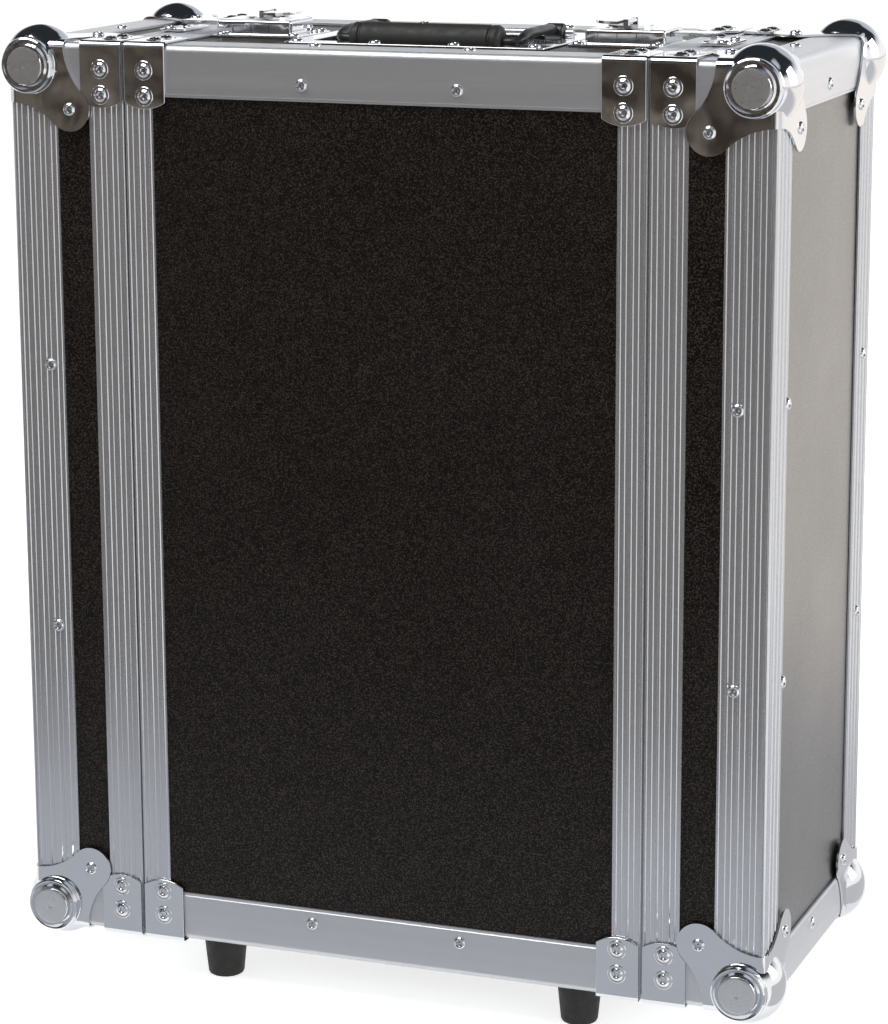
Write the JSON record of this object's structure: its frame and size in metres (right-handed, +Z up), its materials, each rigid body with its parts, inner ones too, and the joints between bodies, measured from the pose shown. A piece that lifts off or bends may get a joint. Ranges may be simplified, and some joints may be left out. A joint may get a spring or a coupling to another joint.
{
  "type": "effects rack case",
  "caption": "Rack flight case with dark laminate boards, aluminium edges, chrome ball corners, butterfly latches, a sunk handle, rubber feet and a lift-off lid on each open end",
  "frame": {"origin": "middle of the footprint, on the floor under the feet", "axes": "+Z up along the case's length of a rack panel, X through the rack from the front lid (-X) to the rear lid (+X), Y along the rack's height, shortest"},
  "size_m": [0.4558, 0.2182, 0.548],
  "materials": {
    "body_front_panel": "smooth dark laminate",
    "body_back_panel": "smooth dark laminate",
    "body_top_panel": "smooth dark laminate",
    "body_bottom_panel": "smooth dark laminate",
    "body_edge_angle_near_bottom": "satin anodised",
    "body_edge_angle_near_top": "satin anodised",
    "body_edge_angle_far_bottom": "satin anodised",
    "body_edge_angle_far_top": "satin anodised",
    "body_closure_front": "satin anodised",
    "body_closure_rear": "satin anodised",
    "rack_rail_front_bottom": "zinc plate",
    "rack_rail_front_top": "zinc plate",
    "rack_rail_rear_bottom": "zinc plate",
    "rack_rail_rear_top": "zinc plate",
    "foot_front_near": "matt black",
    "foot_front_far": "matt black",
    "foot_rear_near": "matt black",
    "foot_rear_far": "matt black",
    "handle_dish": "bright plate",
    "handle_axle": "zinc plate",
    "latch_front_bottom_base": "bright plate",
    "latch_front_top_base": "bright plate",
    "latch_rear_bottom_base": "bright plate",
    "latch_rear_top_base": "bright plate",
    "front_lid_end_panel": "smooth dark laminate",
    "front_lid_side_panels": "smooth dark laminate",
    "front_lid_edge_frame": "satin anodised",
    "front_lid_closure": "satin anodised",
    "front_lid_corner_near_bottom": "bright plate",
    "front_lid_corner_near_top": "bright plate",
    "front_lid_corner_far_bottom": "bright plate",
    "front_lid_corner_far_top": "bright plate",
    "front_lid_strike_bottom": "bright plate",
    "front_lid_strike_top": "bright plate",
    "front_lid_foam": "open-cell foam",
    "rear_lid_end_panel": "smooth dark laminate",
    "rear_lid_side_panels": "smooth dark laminate",
    "rear_lid_edge_frame": "satin anodised",
    "rear_lid_closure": "satin anodised",
    "rear_lid_corner_near_bottom": "bright plate",
    "rear_lid_corner_near_top": "bright plate",
    "rear_lid_corner_far_bottom": "bright plate",
    "rear_lid_corner_far_top": "bright plate",
    "rear_lid_strike_bottom": "bright plate",
    "rear_lid_strike_top": "bright plate",
    "rear_lid_foam": "open-cell foam",
    "handle_bail": "black satin coat",
    "handle_grip": "matt black",
    "latch_front_bottom_hub": "bright plate",
    "latch_front_bottom_wing": "bright plate",
    "latch_front_bottom_claw": "bright plate",
    "latch_front_top_hub": "bright plate",
    "latch_front_top_wing": "bright plate",
    "latch_front_top_claw": "bright plate",
    "latch_rear_bottom_hub": "bright plate",
    "latch_rear_bottom_wing": "bright plate",
    "latch_rear_bottom_claw": "bright plate",
    "latch_rear_top_hub": "bright plate",
    "latch_rear_top_wing": "bright plate",
    "latch_rear_top_claw": "bright plate"
  },
  "bodies": {
    "case": {"body_front_panel": "body_front_panel", "body_back_panel": "body_back_panel", "body_top_panel": "body_top_panel", "body_bottom_panel": "body_bottom_panel", "body_edge_angle_near_bottom": "body_edge_angle_near_bottom", "body_edge_angle_near_top": "body_edge_angle_near_top", "body_edge_angle_far_bottom": "body_edge_angle_far_bottom", "body_edge_angle_far_top": "body_edge_angle_far_top", "body_closure_front": "body_closure_front", "body_closure_rear": "body_closure_rear", "rack_rail_front_bottom": "rack_rail_front_bottom", "rack_rail_front_top": "rack_rail_front_top", "rack_rail_rear_bottom": "rack_rail_rear_bottom", "rack_rail_rear_top": "rack_rail_rear_top", "foot_front_near": "foot_front_near", "foot_front_far": "foot_front_far", "foot_rear_near": "foot_rear_near", "foot_rear_far": "foot_rear_far", "handle_dish": "handle_dish", "handle_axle": "handle_axle", "latch_front_bottom_base": "latch_front_bottom_base", "latch_front_top_base": "latch_front_top_base", "latch_rear_bottom_base": "latch_rear_bottom_base", "latch_rear_top_base": "latch_rear_top_base"},
    "front_lid": {"front_lid_end_panel": "front_lid_end_panel", "front_lid_side_panels": "front_lid_side_panels", "front_lid_edge_frame": "front_lid_edge_frame", "front_lid_closure": "front_lid_closure", "front_lid_corner_near_bottom": "front_lid_corner_near_bottom", "front_lid_corner_near_top": "front_lid_corner_near_top", "front_lid_corner_far_bottom": "front_lid_corner_far_bottom", "front_lid_corner_far_top": "front_lid_corner_far_top", "front_lid_strike_bottom": "front_lid_strike_bottom", "front_lid_strike_top": "front_lid_strike_top", "front_lid_foam": "front_lid_foam"},
    "rear_lid": {"rear_lid_end_panel": "rear_lid_end_panel", "rear_lid_side_panels": "rear_lid_side_panels", "rear_lid_edge_frame": "rear_lid_edge_frame", "rear_lid_closure": "rear_lid_closure", "rear_lid_corner_near_bottom": "rear_lid_corner_near_bottom", "rear_lid_corner_near_top": "rear_lid_corner_near_top", "rear_lid_corner_far_bottom": "rear_lid_corner_far_bottom", "rear_lid_corner_far_top": "rear_lid_corner_far_top", "rear_lid_strike_bottom": "rear_lid_strike_bottom", "rear_lid_strike_top": "rear_lid_strike_top", "rear_lid_foam": "rear_lid_foam"},
    "handle": {"handle_bail": "handle_bail", "handle_grip": "handle_grip"},
    "latch_front_bottom_hub": {"latch_front_bottom_hub": "latch_front_bottom_hub"},
    "latch_front_bottom_wing": {"latch_front_bottom_wing": "latch_front_bottom_wing"},
    "latch_front_bottom_claw": {"latch_front_bottom_claw": "latch_front_bottom_claw"},
    "latch_front_top_hub": {"latch_front_top_hub": "latch_front_top_hub"},
    "latch_front_top_wing": {"latch_front_top_wing": "latch_front_top_wing"},
    "latch_front_top_claw": {"latch_front_top_claw": "latch_front_top_claw"},
    "latch_rear_bottom_hub": {"latch_rear_bottom_hub": "latch_rear_bottom_hub"},
    "latch_rear_bottom_wing": {"latch_rear_bottom_wing": "latch_rear_bottom_wing"},
    "latch_rear_bottom_claw": {"latch_rear_bottom_claw": "latch_rear_bottom_claw"},
    "latch_rear_top_hub": {"latch_rear_top_hub": "latch_rear_top_hub"},
    "latch_rear_top_wing": {"latch_rear_top_wing": "latch_rear_top_wing"},
    "latch_rear_top_claw": {"latch_rear_top_claw": "latch_rear_top_claw"}
  },
  "joints": [
    {"name": "front_lid_pull", "type": "slide", "parent": "case", "child": "front_lid", "axis": [-1, 0, 0], "range_m": [0, 0.15]},
    {"name": "rear_lid_pull", "type": "slide", "parent": "case", "child": "rear_lid", "axis": [1, 0, 0], "range_m": [0, 0.15]},
    {"name": "handle_lift", "type": "hinge", "parent": "case", "child": "handle", "pos_m": [0, 0.033, 0.5365], "axis": [-1, 0, 0], "range_deg": [0, 90]},
    {"name": "latch_front_bottom_twist", "type": "hinge", "parent": "case", "child": "latch_front_bottom_hub", "pos_m": [-0.1077, 0, 0.0169], "axis": [0, 0, -1], "range_deg": [0, 180]},
    {"name": "latch_front_bottom_flip", "type": "hinge", "parent": "latch_front_bottom_hub", "child": "latch_front_bottom_wing", "pos_m": [-0.1077, 0, 0.0134], "axis": [0, 1, 0], "range_deg": [0, 90]},
    {"name": "latch_front_bottom_draw", "type": "slide", "parent": "case", "child": "latch_front_bottom_claw", "axis": [-1, 0, 0], "range_m": [0, 0.008]},
    {"name": "latch_front_top_twist", "type": "hinge", "parent": "case", "child": "latch_front_top_hub", "pos_m": [-0.1077, 0, 0.5431], "axis": [0, 0, 1], "range_deg": [0, 180]},
    {"name": "latch_front_top_flip", "type": "hinge", "parent": "latch_front_top_hub", "child": "latch_front_top_wing", "pos_m": [-0.1077, 0, 0.5466], "axis": [0, -1, 0], "range_deg": [0, 90]},
    {"name": "latch_front_top_draw", "type": "slide", "parent": "case", "child": "latch_front_top_claw", "axis": [-1, 0, 0], "range_m": [0, 0.008]},
    {"name": "latch_rear_bottom_twist", "type": "hinge", "parent": "case", "child": "latch_rear_bottom_hub", "pos_m": [0.1077, 0, 0.0169], "axis": [0, 0, -1], "range_deg": [0, 180]},
    {"name": "latch_rear_bottom_flip", "type": "hinge", "parent": "latch_rear_bottom_hub", "child": "latch_rear_bottom_wing", "pos_m": [0.1077, 0, 0.0134], "axis": [0, -1, 0], "range_deg": [0, 90]},
    {"name": "latch_rear_bottom_draw", "type": "slide", "parent": "case", "child": "latch_rear_bottom_claw", "axis": [1, 0, 0], "range_m": [0, 0.008]},
    {"name": "latch_rear_top_twist", "type": "hinge", "parent": "case", "child": "latch_rear_top_hub", "pos_m": [0.1077, 0, 0.5431], "axis": [0, 0, 1], "range_deg": [0, 180]},
    {"name": "latch_rear_top_flip", "type": "hinge", "parent": "latch_rear_top_hub", "child": "latch_rear_top_wing", "pos_m": [0.1077, 0, 0.5466], "axis": [0, 1, 0], "range_deg": [0, 90]},
    {"name": "latch_rear_top_draw", "type": "slide", "parent": "case", "child": "latch_rear_top_claw", "axis": [1, 0, 0], "range_m": [0, 0.008]}
  ],
  "couplings": [
    {"joint": "latch_front_bottom_draw", "follows": "latch_front_bottom_twist", "m_per_rad": 0.0025464},
    {"joint": "latch_front_top_draw", "follows": "latch_front_top_twist", "m_per_rad": 0.0025464},
    {"joint": "latch_rear_bottom_draw", "follows": "latch_rear_bottom_twist", "m_per_rad": 0.0025464},
    {"joint": "latch_rear_top_draw", "follows": "latch_rear_top_twist", "m_per_rad": 0.0025464}
  ]
}
